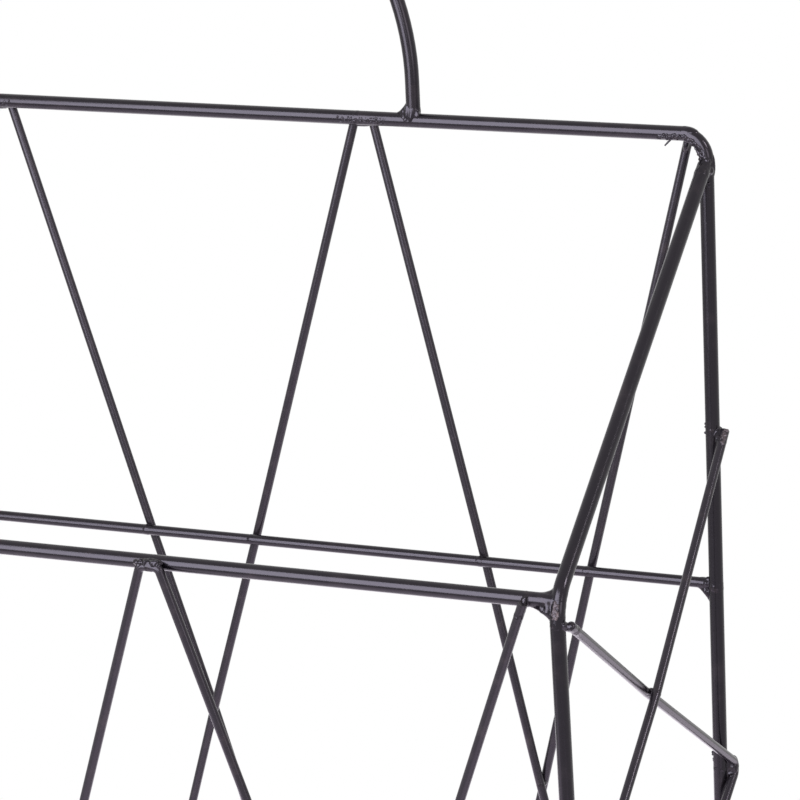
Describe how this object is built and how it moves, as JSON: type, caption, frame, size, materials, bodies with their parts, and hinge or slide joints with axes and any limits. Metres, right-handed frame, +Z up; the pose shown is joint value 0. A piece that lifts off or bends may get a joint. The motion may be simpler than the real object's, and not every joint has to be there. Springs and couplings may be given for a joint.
{
  "type": "magazine rack",
  "caption": "Welded wire magazine rack with a high lattice back, a low lattice front, sloping sides and an arched carry handle.",
  "frame": {"origin": "on the floor under the middle of the rack", "axes": "+X to the rack's right seen from its front, +Y to its back, +Z up"},
  "size_m": [0.3324, 0.1246, 0.4575],
  "materials": {
    "frame_paint": "black satin powder coat on 4 mm steel rod",
    "wire_paint": "black satin powder coat on 2.5 mm steel wire",
    "weld_paint": "black powder coat over uneven weld metal"
  },
  "bodies": {
    "root": {"rear_hoop": "frame_paint", "right_slope_rod": "frame_paint", "left_slope_rod": "frame_paint", "right_front_post": "frame_paint", "left_front_post": "frame_paint", "front_top_bar": "frame_paint", "front_base_bar": "frame_paint", "rear_base_bar": "frame_paint", "rear_brace": "frame_paint", "carry_handle": "frame_paint", "floor_wire_1": "wire_paint", "floor_wire_2": "wire_paint", "floor_wire_3": "wire_paint", "floor_wire_4": "wire_paint", "floor_wire_5": "wire_paint", "floor_wire_6": "wire_paint", "floor_wire_7": "wire_paint", "rear_lattice_outer_wire": "wire_paint", "rear_lattice_inner_wire": "wire_paint", "front_lattice_outer_wire": "wire_paint", "front_lattice_inner_wire": "wire_paint", "left_lattice_outer_wire": "wire_paint", "left_lattice_inner_wire": "wire_paint", "right_lattice_outer_wire": "wire_paint", "right_lattice_inner_wire": "wire_paint", "handle_welds": "weld_paint", "front_bar_welds": "weld_paint", "slope_welds": "weld_paint", "brace_welds": "weld_paint", "base_welds": "weld_paint", "floor_welds": "weld_paint", "rear_lattice_welds": "weld_paint", "front_lattice_welds": "weld_paint", "left_lattice_welds": "weld_paint", "right_lattice_welds": "weld_paint"}
  },
  "joints": []
}
